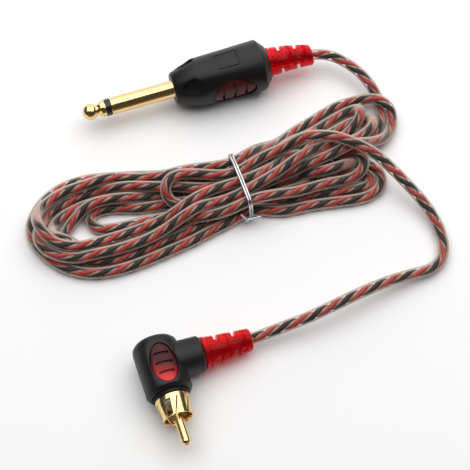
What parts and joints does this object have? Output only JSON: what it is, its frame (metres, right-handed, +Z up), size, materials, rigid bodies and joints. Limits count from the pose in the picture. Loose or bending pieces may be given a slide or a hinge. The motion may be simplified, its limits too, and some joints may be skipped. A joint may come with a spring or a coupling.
{
  "type": "instrument cable",
  "caption": "Instrument cable with a straight 6.35 mm mono phone plug, a right-angle RCA plug and a clear-jacketed twisted pair wound in a tied hank.",
  "frame": {"origin": "centre of the two plugs' bounding box, at the surface that the cable lies on", "axes": "+Z up from the surface, +Y from the RCA plug towards the phone plug, +X towards the side where both plugs' cables leave"},
  "size_m": [0.1473, 0.1573, 0.019],
  "materials": {
    "gold_plate": "polished gold plate",
    "lug_steel": "tinned",
    "black_plastic": "fine matt texture",
    "red_plastic": "translucent, smooth",
    "clear_jacket": "clear, slightly beige",
    "wire_red": "satin",
    "wire_black": "satin",
    "natural_plastic": "satin",
    "tie_wire": "clear coated wire"
  },
  "bodies": {
    "root": {"phone_tip": "gold_plate", "phone_insulator_ring": "black_plastic", "phone_inner_insulator": "natural_plastic", "phone_sleeve": "gold_plate", "phone_sleeve_lug": "lug_steel", "phone_tip_lug": "lug_steel", "phone_housing": "black_plastic", "phone_grip_near": "red_plastic", "phone_grip_far": "red_plastic", "phone_strain_relief": "red_plastic", "phone_cable_end": "clear_jacket", "phone_wire_red": "wire_red", "phone_wire_black": "wire_black", "rca_housing": "black_plastic", "rca_grip": "red_plastic", "rca_collar": "black_plastic", "rca_insulator": "natural_plastic", "rca_shield": "gold_plate", "rca_centre_pin": "gold_plate", "rca_pin_lug": "lug_steel", "rca_shield_lug": "lug_steel", "rca_strain_relief": "red_plastic", "rca_cable_end": "clear_jacket", "rca_wire_red": "wire_red", "rca_wire_black": "wire_black", "cable_lead_phone": "clear_jacket", "cable_lead_rca": "clear_jacket", "cable_hank": "clear_jacket", "hank_tie": "tie_wire"}
  },
  "joints": []
}
